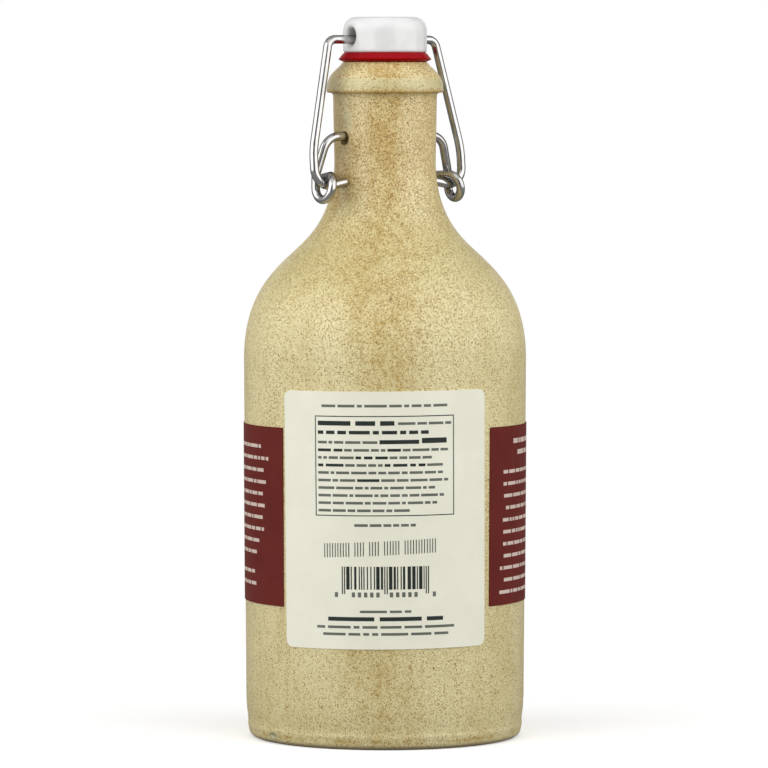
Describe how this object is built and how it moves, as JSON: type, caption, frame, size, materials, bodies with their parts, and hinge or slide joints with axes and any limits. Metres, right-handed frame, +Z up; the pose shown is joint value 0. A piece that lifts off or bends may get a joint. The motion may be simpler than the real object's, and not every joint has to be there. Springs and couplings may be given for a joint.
{
  "type": "swing top syrup jug",
  "caption": "Shut stoneware bottle jug with round shoulder, collared neck, wire swing-top closure, white stopper, red rubber ring and paper labels wrapped round the wall.",
  "frame": {"origin": "middle of the foot, on the surface that the jug stands on", "axes": "+Z up along the jug's axis; X runs through the neck's pin holes; +Y points to the closure's thumb tab; the cream label faces between -X and -Y"},
  "size_m": [0.0824, 0.0823, 0.208],
  "materials": {
    "stoneware": "speckled satin glaze",
    "porcelain": "gloss white",
    "red_rubber": "satin",
    "steel_wire": "bright drawn wire",
    "cream_paper": "coated paper",
    "maroon_paper": "coated paper"
  },
  "bodies": {
    "root": {"jug": "stoneware", "stopper": "porcelain", "gasket": "red_rubber", "bail": "steel_wire", "lever": "steel_wire", "label_back": "cream_paper", "label_wrap": "maroon_paper"}
  },
  "joints": []
}
